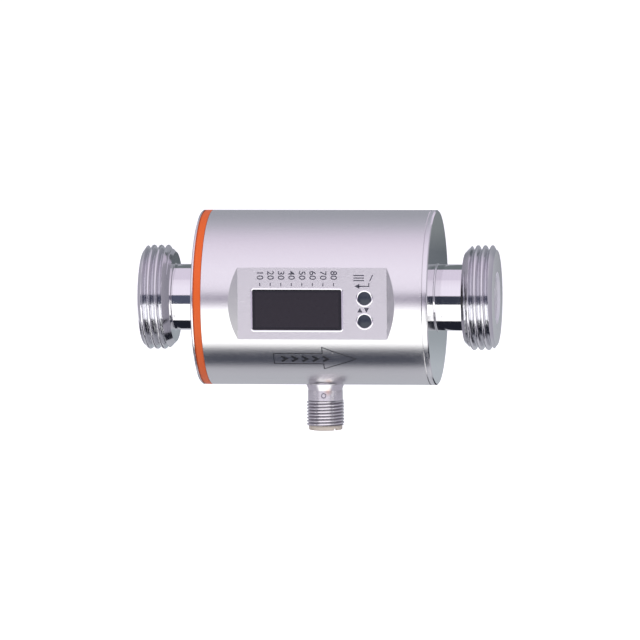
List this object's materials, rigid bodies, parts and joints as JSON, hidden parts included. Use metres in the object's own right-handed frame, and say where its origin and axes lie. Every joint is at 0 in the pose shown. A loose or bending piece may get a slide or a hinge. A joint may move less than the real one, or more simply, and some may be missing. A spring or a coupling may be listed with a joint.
{
  "type": "electromagnetic flow meter",
  "caption": "Compact in-line flow meter: steel cylinder with a display and push buttons, a threaded pipe end on each side and a round plug connector below.",
  "frame": {"origin": "on the pipe axis, half way between the two sealing faces", "axes": "+X along the pipe in the direction of flow, -Y is the side with the display, the plug connector points to -Z"},
  "size_m": [0.113, 0.0556, 0.07],
  "materials": {
    "satin_steel": "satin turned stainless steel",
    "polished_steel": "fine turned, bright stainless steel",
    "orange_plastic": "moulded, smooth",
    "window_plastic": "clear dark tinted, polished",
    "button_rubber": "smooth dark moulded",
    "seal_rubber": "smooth",
    "liner_plastic": "turned, satin",
    "electrode_steel": "polished stainless steel",
    "magnet_iron": "soft iron, bare",
    "bobbin_plastic": "moulded",
    "copper_winding": "enamelled copper wire",
    "carrier_plastic": "moulded, black",
    "circuit_board": "solder-masked laminate",
    "chip_plastic": "moulded",
    "zinc_steel": "zinc plated",
    "digit_plastic": "dark filter face",
    "lamp_plastic": "clear moulded",
    "insert_plastic": "moulded, cream",
    "pin_brass": "gold plated",
    "flex_film": "amber film"
  },
  "bodies": {
    "housing": {"accent_ring": "orange_plastic", "board_cradle": "carrier_plastic", "board_header": "chip_plastic", "board_screws": "zinc_steel", "board_standoffs": "zinc_steel", "connector_flex": "flex_film", "connector_insert": "insert_plastic", "connector_pins": "pin_brass", "connector_shell": "satin_steel", "digit_display": "digit_plastic", "display_board": "circuit_board", "display_frame": "carrier_plastic", "display_window": "window_plastic", "electrode_front": "electrode_steel", "electrode_rear": "electrode_steel", "electrode_seal_front": "seal_rubber", "electrode_seal_rear": "seal_rubber", "housing_shell": "satin_steel", "inlet_cap_seal": "seal_rubber", "inlet_end_cap": "polished_steel", "inlet_fitting": "polished_steel", "inlet_tube_seal": "seal_rubber", "lower_coil_bobbin": "bobbin_plastic", "lower_coil_winding": "copper_winding", "lower_pole_piece": "magnet_iron", "magnetic_yoke": "magnet_iron", "main_board": "circuit_board", "main_board_chips": "chip_plastic", "measuring_tube": "liner_plastic", "mode_switch_body": "chip_plastic", "outlet_cap_seal": "seal_rubber", "outlet_end_cap": "polished_steel", "outlet_fitting": "polished_steel", "outlet_tube_seal": "seal_rubber", "set_switch_body": "chip_plastic", "status_leds": "lamp_plastic", "temperature_probe": "electrode_steel", "temperature_probe_seal": "seal_rubber", "upper_coil_bobbin": "bobbin_plastic", "upper_coil_winding": "copper_winding", "upper_pole_piece": "magnet_iron", "window_gasket": "seal_rubber"},
    "mode_button": {"mode_button_cap": "button_rubber", "mode_button_seal": "seal_rubber", "mode_switch_plunger": "bobbin_plastic"},
    "set_button": {"set_button_cap": "button_rubber", "set_button_seal": "seal_rubber", "set_switch_plunger": "bobbin_plastic"}
  },
  "joints": [
    {"name": "mode_button_press", "type": "slide", "parent": "housing", "child": "mode_button", "axis": [0, 1, 0], "range_m": [0, 0.0005], "stiffness_N_per_m": 4000, "springref_m": -0.0004},
    {"name": "set_button_press", "type": "slide", "parent": "housing", "child": "set_button", "axis": [0, 1, 0], "range_m": [0, 0.0005], "stiffness_N_per_m": 4000, "springref_m": -0.0004}
  ]
}
